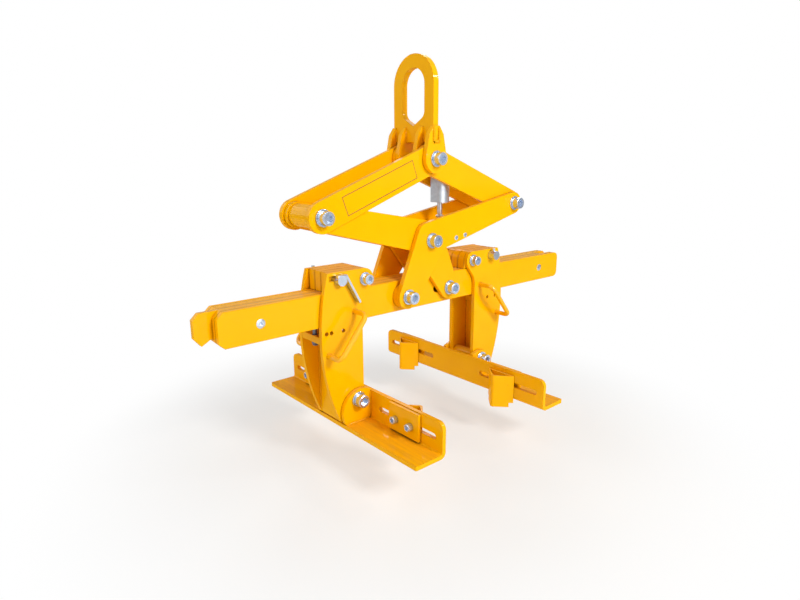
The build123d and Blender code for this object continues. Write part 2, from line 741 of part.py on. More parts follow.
def foot_clamp(middle):
    """Backing plate behind the pad with two socket screws into the foot."""
    face = pad_back - foot_gap
    low = pad_floor + clamp_foot_gap
    high = pad_top - clamp_top_gap
    bolt_z = pad_low + slot_rise
    centre = Pos(face - clamp_thickness / 2, middle, (low + high) / 2)
    backing = centre * Box(clamp_thickness, 2 * clamp_half_length, high - low)
    screws = []
    for offset in (-clamp_bolt_pitch / 2, clamp_bolt_pitch / 2):
        bore = Cylinder(M12[0] / 2 + pin_fit, 4 * clamp_thickness, rotation=(0, 90, 0))
        backing -= Pos(face, middle + offset, bolt_z) * bore
        end = pad_setback + foot_gap + foot_thickness - (face - clamp_thickness)
        screw = socket_screw(M12, 0, 0, 0, end)
        screws.append(Pos(face - clamp_thickness, middle + offset, bolt_z) * Rot(0, 0, -90) * screw)
    return [backing, *screws]


def jaw(side, place, turn, insets):
    """All pieces of one jaw with its pad; the right jaw is the left one turned about."""
    seat = Pos(place, 0, 0) * Rot(0, 0, turn)
    facing = 1 if turn == 0 else -1
    keyed_cheek = plate(cheek_profile(True), -cheek_y, -inner_y)
    plain_cheek = plate(cheek_profile(False), inner_y, cheek_y)
    body, pin = plunger()
    pieces = {
        "jaw_cheeks": [keyed_cheek, plain_cheek],
        "jaw_blocks": jaw_blocks(),
        "jaw_web": jaw_web(),
        "jaw_handles": jaw_handles(),
        "plunger_body": [body],
        "plunger_pin": [pin],
        "lock_cam": [lock_cam()],
        "pad_angle": [pad_angle()],
        "pad_lugs": pad_lugs(),
    }
    for name, inset in insets.items():
        outward = -1 if name == "front" else 1
        middle = facing * outward * (pad_half_length - inset)
        pieces[f"{name}_foot"] = [foot(middle)]
        pieces[f"{name}_clamp"] = foot_clamp(middle)
    for name, shapes in pieces.items():
        save(f"{side}_{name}", *[seat * shape for shape in shapes])

    # every bolt goes in from the front
    nose_x, nose_z = nose_bolt()
    save(f"{side}_jaw_bolt", *through_bolt(M16, place + facing * nose_x, nose_z, cheek_y))
    save(f"{side}_pad_bolt", *through_bolt(M20, place, pivot_z, cheek_y + side_gap + pad_lug_thickness))


os.makedirs("parts", exist_ok=True)
lifting_head()
scissors()
latch()
beams()
jaw("left", left_jaw_place, 0, {"front": left_front_inset, "rear": left_rear_inset})
jaw("right", right_jaw_place, 180, {"front": right_front_inset, "rear": right_rear_inset})
print(f"clearance at the open middle pivot {hub_slack:.2f} mm")
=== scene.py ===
"""Block lifter in a plain studio: enamelled steel plate, bright zinc fasteners, welds and screws."""

import json
import math

import bmesh
import bpy
from mathutils import Matrix, Vector


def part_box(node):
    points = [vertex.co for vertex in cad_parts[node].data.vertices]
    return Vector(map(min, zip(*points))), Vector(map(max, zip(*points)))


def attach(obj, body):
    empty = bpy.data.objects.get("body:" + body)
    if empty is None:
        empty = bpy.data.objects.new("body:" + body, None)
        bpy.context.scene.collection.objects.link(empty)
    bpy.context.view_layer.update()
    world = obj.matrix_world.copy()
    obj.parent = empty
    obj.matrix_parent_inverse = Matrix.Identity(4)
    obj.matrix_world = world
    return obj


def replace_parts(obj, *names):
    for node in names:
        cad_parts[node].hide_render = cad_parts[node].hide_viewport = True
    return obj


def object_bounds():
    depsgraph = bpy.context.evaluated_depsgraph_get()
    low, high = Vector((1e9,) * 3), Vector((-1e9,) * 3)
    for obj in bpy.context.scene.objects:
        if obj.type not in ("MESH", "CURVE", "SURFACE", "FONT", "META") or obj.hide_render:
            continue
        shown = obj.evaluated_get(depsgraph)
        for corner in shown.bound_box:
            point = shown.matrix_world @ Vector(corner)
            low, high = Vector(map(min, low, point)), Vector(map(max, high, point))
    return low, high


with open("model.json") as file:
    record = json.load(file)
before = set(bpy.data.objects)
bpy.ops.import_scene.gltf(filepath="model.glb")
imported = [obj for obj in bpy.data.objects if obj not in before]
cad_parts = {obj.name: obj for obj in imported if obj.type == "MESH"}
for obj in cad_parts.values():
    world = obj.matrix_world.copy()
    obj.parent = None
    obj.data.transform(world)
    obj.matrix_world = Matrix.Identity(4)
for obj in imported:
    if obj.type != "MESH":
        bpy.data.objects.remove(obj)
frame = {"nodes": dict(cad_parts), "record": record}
cad_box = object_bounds()
record = frame["record"]
body_of = {node: body for body, nodes in record["behaviour"]["bodies"].items() for node in nodes}
slot_of = {row["node"]: row["material_slot"] for row in record["subparts"]}

# Sizes that the frame doesn't give, in millimetres; heads, keys, washers and nuts as half widths
MM = 0.001
M20 = {"shank": 10.0, "head": 15.0, "height": 20.0, "key": 8.5, "washer": 18.5, "nut": 15.0, "nut_height": 16.0}
M16 = {"shank": 8.0, "head": 12.0, "height": 16.0, "key": 7.0, "washer": 15.0, "nut": 12.0, "nut_height": 13.0}
M12 = {"shank": 6.0, "head": 9.0, "height": 12.0, "key": 5.0}
WASHER = 3.0
THREAD_TAIL = 4.0  # of a bolt past its nut
BAR = 12.0  # thickness of the beams' bars
BLOCK_ROOM = 73.0  # width of the three blocks in a jaw
RUBBED = {  # share of a bar's upper face that the jaws have rubbed pale
    "left_beam_face_bar": 0.45, "left_beam_filler_bar": 0.8, "left_beam_rack_bar": 1.0,
    "right_beam_rack_bar": 0.75, "right_beam_filler_bar": 0.5, "right_beam_face_bar": 0.1,
}
DUST = (0.5, "#D3A055", (28, 28, 28))  # share, colour and size of blotches on upward faces
BEAM_SCREWS = (-454.5, 480.0)  # along the left beam; turned about on the right one
CATCH_SCREWS = ((86.0, -1.0), (118.6, 3.3))  # from the middle pivot
LUG_FACES = (24.0, 36.0, 61.5, 73.5)  # of the eye's lugs, from the mid-plane
CROSS_PLATE = 16.0  # under the beams, in a jaw
WEB_OUT = 44.0  # pad pivot to the outside of a jaw's web
HANDLE_BAR = 6.0
CLAMP_PLATE = 8.0
CLAMP_PITCH = 50.0
SLOT_RISE = 43.0  # underside of a pad to its slots
BORDER = (61.0, 275.0, -23.5, 20.5)  # along the left arm from the top pin, and across it
FLOOR_DROP = 90.0  # the lifter hangs, and its pads come down nearly this far as the scissors open
RIM = 96  # points round a turned piece
HEX = math.inf  # section of a full hexagon


def box(node):
    """Lowest and highest corners of a node, in millimetres."""
    return [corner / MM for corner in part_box(node)]


def middle(node):
    """Middle of a node's box, in millimetres."""
    low, high = box(node)
    return (low + high) / 2


# Finishes

def colour(code):
    """sRGB hex to linear red, green, blue and alpha."""
    parts = [int(code[i:i + 2], 16) / 255 for i in (1, 3, 5)]
    return tuple(c / 12.92 if c <= 0.04045 else ((c + 0.055) / 1.055) ** 2.4 for c in parts) + (1.0,)


def add(tree, kind, inputs=None, **settings):
    """New node with its settings, and with values or links on its inputs."""
    node = tree.nodes.new(kind)
    for name, value in settings.items():
        setattr(node, name, value)
    for name, value in (inputs or {}).items():
        if isinstance(value, bpy.types.NodeSocket):
            tree.links.new(value, node.inputs[name])
        else:
            node.inputs[name].default_value = value
    return node


def new_finish(name):
    """Empty node material: its tree and its output node."""
    material = bpy.data.materials.new(name)
    material.use_nodes = True
    tree = material.node_tree
    tree.nodes.clear()
    return material, tree, add(tree, "ShaderNodeOutputMaterial")


def gloss_enamel(name, wear=DUST, joints=None, shine=0.28):
    """Gloss enamel sprayed on flame-cut steel plate: a saturated warm yellow with faint orange peel, thinner and
    more orange on the plates' edges, dusty or rubbed on what faces up; painted shade makes it browner where plates
    meet and dark in their gaps and holes. Wear is its share, its colour and the size of its streaks along X, Y and Z;
    joints are their spacing along Y, the place of one and half their width; shine is the weight of the clear top coat."""
    material, tree, output = new_finish(name)
    place = add(tree, "ShaderNodeTexCoord").outputs["Object"]
    facing = add(tree, "ShaderNodeNewGeometry").outputs["Normal"]
    cloud = add(tree, "ShaderNodeTexNoise", {"Vector": place, "Scale": 1 / (70 * MM), "Detail": 3.0}).outputs["Fac"]
    coat = add(tree, "ShaderNodeMix", {0: cloud, 6: colour("#FFBC02"), 7: colour("#FBB100")}, data_type="RGBA")

    # Sprayed edges of plate are rounded to about 1 mm and the coat is thin there.
    edge = add(tree, "ShaderNodeBevel", {"Radius": 1.1 * MM}, samples=6).outputs["Normal"]
    along = add(tree, "ShaderNodeVectorMath", {0: edge, 1: facing}, operation="DOT_PRODUCT")
    thin = add(tree, "ShaderNodeMapRange", {"Value": along.outputs["Value"], "From Min": 0.995, "From Max": 0.86,
                                            "To Max": 0.6})
    coat = add(tree, "ShaderNodeMix", {0: thin.outputs["Result"], 6: coat.outputs[2], 7: colour("#E58A03")},
               data_type="RGBA")

    # Painted shade: the last 5 mm of the corners between plates are painted darker and browner, where shade falls.
    corner = add(tree, "ShaderNodeAmbientOcclusion", {"Distance": 5 * MM}, samples=6)
    painted_corner_shade = add(tree, "ShaderNodeMapRange", {"Value": corner.outputs["AO"], "From Min": 0.85, "From Max": 0.3,
                                             "To Max": 0.5})
    coat = add(tree, "ShaderNodeMix", {0: painted_corner_shade.outputs["Result"], 6: coat.outputs[2], 7: colour("#8F4A06")},
               data_type="RGBA")

    # Painted shade: holes and gaps narrower than about 12 mm are painted dark brown, where shade falls in them.
    gap = add(tree, "ShaderNodeAmbientOcclusion", {"Distance": 12 * MM}, samples=6)
    painted_gap_shade = add(tree, "ShaderNodeMapRange", {"Value": gap.outputs["AO"], "From Min": 0.4, "From Max": 0.1,
                                            "To Max": 0.85})
    coat = add(tree, "ShaderNodeMix", {0: painted_gap_shade.outputs["Result"], 6: coat.outputs[2], 7: colour("#3A1A04")},
               data_type="RGBA")

    # Dust and rubbing on upward faces, in streaks or blotches.
    share, tint, sizes = wear
    lean = add(tree, "ShaderNodeSeparateXYZ", {"Vector": facing}).outputs
    level = add(tree, "ShaderNodeMapRange", {"Value": lean["Z"], "From Min": 0.7, "From Max": 0.98}).outputs["Result"]
    spread = add(tree, "ShaderNodeMapping", {"Vector": place, "Scale": [1 / (size * MM) for size in sizes]})
    dust = add(tree, "ShaderNodeTexNoise", {"Vector": spread.outputs["Vector"], "Scale": 1.0, "Detail": 5.0,
                                            "Roughness": 0.6})
    amount = add(tree, "ShaderNodeMapRange", {"Value": dust.outputs["Fac"], "From Min": 0.36, "From Max": 0.66,
                                              "To Min": 0.35 * share, "To Max": share})
    amount = add(tree, "ShaderNodeMath", {0: amount.outputs["Result"], 1: level}, operation="MULTIPLY")
    coat = add(tree, "ShaderNodeMix", {0: amount.outputs["Value"], 6: coat.outputs[2], 7: colour(tint)},
               data_type="RGBA")

    # The joints between stacked plates are hairlines full of dirt, most of it on top; drawn 4 to 6 mm wide so
    # that they show.
    if joints:
        spacing, start, reach = joints
        across = add(tree, "ShaderNodeSeparateXYZ", {"Vector": place}).outputs["Y"]
        across = add(tree, "ShaderNodeMath", {0: across, 1: -start * MM}, operation="ADD")
        apart = add(tree, "ShaderNodeMath", {0: across.outputs["Value"], 1: spacing / 2 * MM}, operation="PINGPONG")
        filled = add(tree, "ShaderNodeMath", {0: level, 1: 0.45, 2: 0.4}, operation="MULTIPLY_ADD")
        line = add(tree, "ShaderNodeMapRange", {"Value": apart.outputs["Value"], "From Min": reach * MM,
                                                "From Max": (reach + 1.4) * MM,
                                                "To Min": filled.outputs["Value"], "To Max": 0.0})
        sideways = add(tree, "ShaderNodeMath", {0: lean["Y"]}, operation="ABSOLUTE")
        edge_on = add(tree, "ShaderNodeMapRange", {"Value": sideways.outputs["Value"], "From Min": 0.9,
                                                   "From Max": 0.5})
        line = add(tree, "ShaderNodeMath", {0: line.outputs["Result"], 1: edge_on.outputs["Result"]},
                   operation="MULTIPLY")
        coat = add(tree, "ShaderNodeMix", {0: line.outputs["Value"], 6: coat.outputs[2], 7: colour("#8A4E0E")},
                   data_type="RGBA")

    # Orange peel of sprayed enamel is about 2.5 mm across and hardly 0.02 mm high.
    peel = add(tree, "ShaderNodeTexNoise", {"Vector": place, "Scale": 1 / (2.5 * MM), "Detail": 1.5})
    skin = add(tree, "ShaderNodeBump", {"Height": peel.outputs["Fac"], "Normal": edge, "Strength": 0.35,
                                        "Distance": 0.03 * MM})
    gloss = add(tree, "ShaderNodeMapRange", {"Value": cloud, "To Min": 0.34, "To Max": 0.44})
    dull = add(tree, "ShaderNodeMath", {0: amount.outputs["Value"], 1: 0.5, 2: gloss.outputs["Result"]},
               operation="MULTIPLY_ADD")
    shader = add(tree, "ShaderNodeBsdfPrincipled", {
        "Base Color": coat.outputs[2], "Roughness": dull.outputs["Value"], "Normal": skin.outputs["Normal"],
        "IOR": 1.5, "Specular IOR Level": 0.0, "Coat Weight": shine, "Coat Roughness": 0.1,
        "Coat Normal": skin.outputs["Normal"]})
    tree.links.new(shader.outputs["BSDF"], output.inputs["Surface"])
    return material


def plated_steel(name, light, dark, rough):
    """Clear-passivated zinc plate on turned steel, or the oiled steel itself: pale metal with a cold blue cast,
    softly blotched, a little dull from the bloom on it, with painted shade in the sockets and under the heads."""
    material, tree, output = new_finish(name)
    place = add(tree, "ShaderNodeTexCoord").outputs["Object"]
    blotch = add(tree, "ShaderNodeTexNoise", {"Vector": place, "Scale": 1 / (9 * MM), "Detail": 4.0}).outputs["Fac"]
    plate = add(tree, "ShaderNodeMix", {0: blotch, 6: colour(light), 7: colour(dark)}, data_type="RGBA")
    # Painted shade: within 4 mm of corners, in the sockets and under the heads, the metal is painted dark grey.
    corner = add(tree, "ShaderNodeAmbientOcclusion", {"Distance": 4 * MM}, samples=6)
    painted_socket_shade = add(tree, "ShaderNodeMapRange", {"Value": corner.outputs["AO"], "From Min": 0.7, "From Max": 0.1,
                                           "To Max": 0.25})
    plate = add(tree, "ShaderNodeMix", {0: painted_socket_shade.outputs["Result"], 6: plate.outputs[2], 7: colour("#3E424B")},
                data_type="RGBA")
    gloss = add(tree, "ShaderNodeMapRange", {"Value": blotch, "To Min": rough - 0.07, "To Max": rough + 0.10})
    edge = add(tree, "ShaderNodeBevel", {"Radius": 0.5 * MM}, samples=4).outputs["Normal"]
    # Grain of the plating is under 0.3 mm; drawn at 0.8 mm so that it shows.
    grain = add(tree, "ShaderNodeTexNoise", {"Vector": place, "Scale": 1 / (0.8 * MM), "Detail": 1.0})
    skin = add(tree, "ShaderNodeBump", {"Height": grain.outputs["Fac"], "Normal": edge, "Strength": 0.1,
                                        "Distance": 0.01 * MM})
    shader = add(tree, "ShaderNodeBsdfPrincipled", {
        "Base Color": plate.outputs[2], "Metallic": 0.92, "Roughness": gloss.outputs["Result"],
        "Normal": skin.outputs["Normal"]})
    tree.links.new(shader.outputs["BSDF"], output.inputs["Surface"])
    return material


def printed_line(name):
    """Brown screen ink on the enamel: a thin matt line, broken where the ink ran dry."""
    material, tree, output = new_finish(name)
    place = add(tree, "ShaderNodeTexCoord").outputs["Object"]
    dry = add(tree, "ShaderNodeTexNoise", {"Vector": place, "Scale": 1 / (6 * MM), "Detail": 3.0})
    ink = add(tree, "ShaderNodeMix", {0: dry.outputs["Fac"], 6: colour("#84480A"), 7: colour("#A8690A")},
              data_type="RGBA")
    shader = add(tree, "ShaderNodeBsdfPrincipled", {"Base Color": ink.outputs[2], "Roughness": 0.6})
    tree.links.new(shader.outputs["BSDF"], output.inputs["Surface"])
    return material


enamel = gloss_enamel("gloss_enamel")
bar_enamel = {node: gloss_enamel(f"gloss_enamel_{node}", (share, "#D6A662", (200, 7, 15)), (2 * BAR, 0.0, 1.2))
              for node, share in RUBBED.items()}
block_enamel = gloss_enamel("gloss_enamel_stacked", (0.6, "#BE8238", (60, 9, 20)),
                            (BLOCK_ROOM / 3, BLOCK_ROOM / 6, 2.2))
pad_enamel = gloss_enamel("gloss_enamel_trodden", (0.4, "#B8742F", (9, 160, 20)))
handle_enamel = gloss_enamel("gloss_enamel_handled", shine=1.0)  # rubbed smooth by hands, so it shines most
zinc = plated_steel("bright_zinc", "#DEE9FA", "#BECADD", 0.22)
turned_steel = plated_steel("turned_steel", "#DDE2E8", "#A9B0BA", 0.34)
oiled_steel = plated_steel("oiled_steel", "#8D9299", "#565B64", 0.38)
ink = printed_line("screen_ink")

for node, solid in frame["nodes"].items():
    finish = zinc if slot_of[node] == "zinc_plate" else enamel
    if node in bar_enamel:
        finish = bar_enamel[node]
    if node.endswith("jaw_blocks"):
        finish = block_enamel
    if node.endswith("pad_angle"):
        finish = pad_enamel
    if node.endswith("jaw_handles"):
        finish = handle_enamel
    if node in ("latch_body", "latch_rod"):
        finish = turned_steel
    if node.endswith("plunger_body"):
        finish = oiled_steel
    for holder in solid.material_slots:
        holder.material = finish


# Mesh of turned pieces, flat pieces and welds

def piece(name, solid, finish, carrier):
    """New mesh in millimetres that rides with a node, sharp where its faces turn by more than 35 degrees."""
    points, faces = solid
    mesh = bpy.data.meshes.new(name)
    mesh.from_pydata([Vector(point) * MM for point in points], [], faces)
    mesh.materials.append(finish)
    mesh.polygons.foreach_set("use_smooth", [True] * len(mesh.polygons))
    mesh.set_sharp_from_angle(angle=math.radians(35))
    holder = bpy.data.objects.new(name, mesh)
    bpy.context.scene.collection.objects.link(holder)
    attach(holder, body_of[carrier])
    return holder


def joined(solids):
    """Several solids as one list of points and one of faces."""
    points, faces = [], []
    for more_points, more_faces in solids:
        start = len(points)
        points += more_points
        faces += [tuple(start + corner for corner in face) for face in more_faces]
    return points, faces


def tube_faces(rows, sides, ring):
    """Faces between rows of points; a ring closes on itself, anything else gets end caps."""
    faces = []
    for row in range(rows if ring else rows - 1):
        start, after = row * sides, (row + 1) % rows * sides
        for side in range(sides):
            beside = (side + 1) % sides
            faces.append((start + side, start + beside, after + beside, after + side))
    if not ring:
        faces.append(tuple(reversed(range(sides))))
        faces.append(tuple(range((rows - 1) * sides, rows * sides)))
    return faces


def turned(rows, place, axis, ring=False):
    """Solid of rows along an axis. A row is the distance along it, the reach and the section: round, knurled
    with shallow teeth, or for a hexagon the radius that its corners are cut to."""
    axis = Vector(axis)
    across = axis.orthogonal().normalized()
    level = axis.cross(across)
    points = []
    for distance, reach, section in rows:
        for step in range(RIM):
            angle = step * math.tau / RIM
            out = reach
            if section == "knurled":
                out = reach - 0.45 * (step % 2)
            elif section != "round":
                out = min(reach / math.cos((angle + math.pi / 6) % (math.pi / 3) - math.pi / 6), section)
            points.append(Vector(place) + axis * distance + (across * math.cos(angle) + level * math.sin(angle)) * out)
    return points, tube_faces(len(rows), RIM, ring)


def sunk_screw(place, axis, head, shank, key, length):
    """Countersunk socket screw, flush with the face that it is driven into."""
    return turned([
        (0.45 * (head - shank), key, HEX), (0.35, key, HEX), (0.1, key + 0.3, HEX),
        (0.1, head - 0.7, "round"), (0.45, head - 0.1, "round"),
        (head - shank + 0.35, shank, "round"), (length, shank, "round"),
    ], place, axis)


def cap_screw(place, axis, size, length):
    """Socket screw with a knurled head; place is the middle of the head's face."""
    head, height, shank, key = (size[name] for name in ("head", "height", "shank", "key"))
    return turned([
        (0.45 * height, key, HEX), (0.6, key, HEX), (0.0, key + 0.5, HEX),
        (0.0, head - 1.1, "round"), (0.5, head - 0.4, "round"), (1.3, head, "knurled"),
        (height - 1.6, head, "knurled"), (height - 0.9, head - 0.4, "round"), (height, head - 0.4, "round"),
        (height, shank, "round"), (length, shank, "round"),
    ], place, axis)


def washer(place, size):
    """Plain washer with broken edges, along Y."""
    bore, rim = size["shank"], size["washer"]
    return turned([
        (0.0, bore, "round"), (0.0, rim - 0.5, "round"), (0.4, rim, "round"),
        (WASHER - 0.4, rim, "round"), (WASHER, rim - 0.5, "round"), (WASHER, bore, "round"),
    ], place, (0, 1, 0), ring=True)


def nut(place, size):
    """Hexagon nut along Y, its corners turned off at 30 degrees at both ends."""
    flat, height, bore = size["nut"], size["nut_height"], size["shank"]
    rise = flat * (2 / math.sqrt(3) - 1) * math.tan(math.radians(30)) + 0.2
    cuts = [(rise * step / 4, flat - 0.2 + rise * step / 4 / math.tan(math.radians(30))) for step in range(5)]
    rows = [(0.0, bore, "round")] + [(along, flat, limit) for along, limit in cuts]
    rows += [(height - along, flat, limit) for along, limit in reversed(cuts)] + [(height, bore, "round")]
    return turned(rows, place, (0, 1, 0), ring=True)


def thread_end(place, shank):
    """Cut thread on the end of a bolt; turns 1 mm apart, as coarse as they show."""
    rows = [(0.0, shank - 0.8, "round")]
    for turn in range(int(THREAD_TAIL) - 1):
        rows += [(turn + 0.5, shank, "round"), (turn + 1.0, shank - 0.8, "round")]
    rows += [(THREAD_TAIL - 0.5, shank, "round"), (THREAD_TAIL, shank - 1.2, "round")]
    return turned(rows, place, (0, 1, 0))


def arc(centre, reach, first, last, steps):
    """Points on a circle in an X-Z plane, with angles in degrees."""
    angles = [math.radians(first + (last - first) * step / steps) for step in range(steps + 1)]
    return [(centre[0] + reach * math.cos(a), centre[1], centre[2] + reach * math.sin(a)) for a in angles]


def bead(path, reach):
    """Weld bead along a path: a half-sunk round bead with ripples, narrowing at both ends.
    Real ripples are about 1.5 mm apart; they are drawn at 3.5 mm so that they show."""
    step, ripple, sides = 0.9, 3.5, 9
    line, travelled = [], 0.0
    for start, end in zip(path, path[1:]):
        run = Vector(end) - Vector(start)
        parts = max(1, round(run.length / step))
        line += [(Vector(start) + run * k / parts, run.normalized(), travelled + run.length * k / parts)
                 for k in range(parts)]
        travelled += run.length
    line.append((Vector(path[-1]), line[-1][1], travelled))
    points = []
    for centre, ahead, way in line:
        across = ahead.orthogonal().normalized()
        level = ahead.cross(across)
        wave = 1 + 0.13 * math.cos(math.tau * way / ripple) + 0.07 * math.sin(way / 4.1)
        taper = min(1.0, 0.45 + min(way, travelled - way) / (2.5 * reach))
        for side in range(sides):
            angle = side * math.tau / sides
            points.append(centre + (across * math.cos(angle) + level * math.sin(angle)) * reach * wave * taper)
    return points, tube_faces(len(line), sides, ring=False)


def edged_plate(low, high, edge):
    """Flat bar with its edges broken, between two corners."""
    centre = [(a + b) / 2 for a, b in zip(low, high)]
    half = [(b - a) / 2 for a, b in zip(low, high)]
    shape = bmesh.new()
    for sign in [(x, y, z) for x in (-1, 1) for y in (-1, 1) for z in (-1, 1)]:
        for full in range(3):
            reach = [h if k == full else h - edge for k, h in enumerate(half)]
            shape.verts.new([c + s * r for c, s, r in zip(centre, sign, reach)])
    bmesh.ops.convex_hull(shape, input=shape.verts[:])
    bmesh.ops.dissolve_limit(shape, angle_limit=0.01, verts=shape.verts, edges=shape.edges)
    shape.verts.index_update()
    points = [tuple(corner.co) for corner in shape.verts]
    faces = [tuple(corner.index for corner in face.verts) for face in shape.faces]
    shape.free()
    return points, faces


# Fasteners

def bolt_set(node, size):
    """Knurled socket screw, washers, nut and cut thread in the place of a plain bolt."""
    low, high = box(node)
    x, z = middle(node).x, middle(node).z
    nut_face = high.y - THREAD_TAIL
    nut_seat = nut_face - size["nut_height"]
    solids = [
        cap_screw((x, low.y, z), (0, 1, 0), size, nut_face - low.y),
        washer((x, low.y + size["height"], z), size),
        washer((x, nut_seat - WASHER, z), size),
        nut((x, nut_seat, z), size),
        thread_end((x, nut_face, z), size["shank"]),
    ]
    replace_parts(piece(f"{node}_set", joined(solids), zinc, node), node)


def beam_and_catch_screws():
    """Countersunk screws that tie the bars of the beams and hold the latch's catch."""
    for side, facing in (("left", 1), ("right", -1)):
        bar = f"{side}_beam_face_bar"
        face = box(bar)[0].y if facing > 0 else box(bar)[1].y
        places = [(facing * x, face, middle(bar).z) for x in BEAM_SCREWS]
        screws = [sunk_screw(place, (0, facing, 0), 10.3, 5.0, 3.0, 11.0) for place in places]
        piece(f"{side}_beam_screws", joined(screws), zinc, bar)
    pivot = middle("middle_bolt")
    screws = []
    for lever, inward in (("right_lever_front", 1), ("right_lever_rear", -1)):
        face = box(lever)[0].y if inward > 0 else box(lever)[1].y
        for x, rise in CATCH_SCREWS:
            place = (pivot.x + x, face - inward * 0.5, pivot.z + rise)
            screws.append(sunk_screw(place, (0, inward, 0), 6.3, 3.0, 2.2, 11.0))
    piece("catch_screws", joined(screws), zinc, "right_lever_front")


def foot_clamps(side, facing):
    """Enamelled backing plates with bright socket screws, in the place of the plain clamps."""
    screw_z = box(f"{side}_pad_angle")[0].z + SLOT_RISE
    for end in ("front", "rear"):
        node = f"{side}_{end}_clamp"
        low, high = box(node)
        head = low.x if facing > 0 else high.x
        near = head + facing * M12["height"]
        left, right = sorted((near, near + facing * CLAMP_PLATE))
        plate = edged_plate((left, low.y, low.z), (right, high.y, high.z), 0.8)
        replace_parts(piece(f"{side}_{end}_backing", plate, enamel, node), node)
        screws = [cap_screw((head, middle(node).y + offset, screw_z), (facing, 0, 0), M12, high.x - low.x)
                  for offset in (-CLAMP_PITCH / 2, CLAMP_PITCH / 2)]
        piece(f"{side}_{end}_clamp_screws", joined(screws), zinc, node)


def plunger_pin(side):
    """Rack plunger's pin with a knurled knob and a pointed tip, in the place of the plain one."""
    node = f"{side}_plunger_pin"
    low, high = box(node)
    knob = (high.x - low.x) / 2
    pin = turned([
        (0.0, knob - 0.9, "round"), (0.7, knob, "knurled"), (4.2, knob, "knurled"), (4.9, knob - 0.7, "round"),
        (5.0, 5.0, "round"), (high.z - low.z - 2.9, 5.0, "round"), (high.z - low.z - 0.1, 0.3, "round"),
    ], (middle(node).x, middle(node).y, low.z), (0, 0, 1))
    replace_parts(piece(f"{side}_plunger_knob", pin, oiled_steel, node), node)


# Welds, sprayed over with the enamel

def head_welds():
    """Beads between the eye and its lugs, and between the latch's carrier and the right arms."""
    low, high = box("eye_plate")
    top = box("head_lugs")[1].z
    beads = []
    for way in (-1, 1):
        y = way * LUG_FACES[-1]
        beads.append(bead([(low.x, y, top - 3), (low.x, y, low.z), (high.x, y, low.z), (high.x, y, top - 3)], 4.2))
        for x in (low.x, high.x):
            for y in (way * face for face in LUG_FACES[:-1]):
                beads.append(bead([(x, y, top - 5), (x, y, low.z + 1)], 2.4))
    piece("eye_welds", joined(beads), enamel, "eye_plate")

    low, high = box("latch_carrier")
    beads = [bead([(low.x + 2, y, z), (high.x - 2, y, z)], 2.6) for y in (low.y, high.y) for z in (low.z, high.z)]
    piece("carrier_welds", joined(beads), enamel, "latch_carrier")


def jaw_welds(side, facing):
    """Beads round the handles' feet and between a jaw's cheeks, web and cross plate."""
    place = middle(f"{side}_pad_bolt").x
    low, high = box(f"{side}_jaw_handles")
    inner, outer = (high.x, low.x) if facing > 0 else (low.x, high.x)
    roots = [(inner - facing * HANDLE_BAR, high.z - HANDLE_BAR), (outer + facing * HANDLE_BAR, low.z + HANDLE_BAR)]
    cheek = box(f"{side}_jaw_cheeks")[1].y
    low, high = box(f"{side}_jaw_web")
    web = place - facing * WEB_OUT
    cross = high.z - CROSS_PLATE
    edge = low.x if facing > 0 else high.x
    beads = [bead([(web, low.y + 3, cross), (web, high.y - 3, cross)], 2.6)]
    for way in (-1, 1):
        for x, z in roots:
            beads.append(bead(arc((x, way * cheek, z), HANDLE_BAR + 0.2, 0, 360, 24), 1.7))
        beads.append(bead([(web, way * high.y, cross - 3), (web, way * high.y, low.z + 2)], 2.6))
        for z in (high.z, cross):
            beads.append(bead([(edge + facing * 2, way * high.y, z), (web - facing * 3, way * high.y, z)], 2.2))
    piece(f"{side}_jaw_welds", joined(beads), enamel, f"{side}_jaw_web")


def pad_welds(side, facing):
    """Beads between a pad's lugs and its angle."""
    low, high = box(f"{side}_pad_lugs")
    top = box(f"{side}_pad_angle")[1].z
    outer, back = (low.x, high.x) if facing > 0 else (high.x, low.x)
    beads = []
    for y in (low.y, high.y):
        beads.append(bead([(outer + facing * 8, y, low.z), (back - facing * 6, y, low.z)], 2.4))
        beads.append(bead([(back, y, low.z + 6), (back, y, top - 2)], 2.4))
    piece(f"{side}_pad_welds", joined(beads), enamel, f"{side}_pad_angle")


# Printed border

def arm_border():
    """Plain printed border on the left front arm; the place inside it stays bare. The line is about 1 mm wide, and
    is drawn at 1.8 mm so that it shows."""
    pin = middle("top_bolt")
    along = middle("left_bolt") - pin
    along = Vector((along.x, 0, along.z)).normalized()
    above = Vector((along.z, 0, -along.x))
    start, end, below, top = BORDER
    width, proud = 1.8, 0.12
    face = box("left_arm_front")[0].y
    rims = []
    for inset in (0, width):
        for y in (face - proud, face + 0.2):
            rims.append([Vector((pin.x, y, pin.z)) + along * a + above * b for a, b in (
                (start + inset, top - inset), (end - inset, top - inset),
                (end - inset, below + inset), (start + inset, below + inset))])
    outer_top, outer_low, inner_top, inner_low = rims
    points = [corner for rim in (outer_top, inner_top, inner_low, outer_low) for corner in rim]
    piece("arm_border", (points, tube_faces(4, 4, ring=True)), ink, "left_arm_front")


for bolt in ("top", "left", "right", "middle", "lower_left", "lower_right", "left_pad", "right_pad"):
    bolt_set(f"{bolt}_bolt", M20)
beam_and_catch_screws()
head_welds()
arm_border()
for side, facing in (("left", 1), ("right", -1)):
    bolt_set(f"{side}_jaw_bolt", M16)
    foot_clamps(side, facing)
    plunger_pin(side)
    jaw_welds(side, facing)
    pad_welds(side, facing)


# Studio: pale floor that fades to white, a soft lamp high in front, weaker ones low in front, above, on the left,
# behind and on the right, and a small one for the glints on bright metal

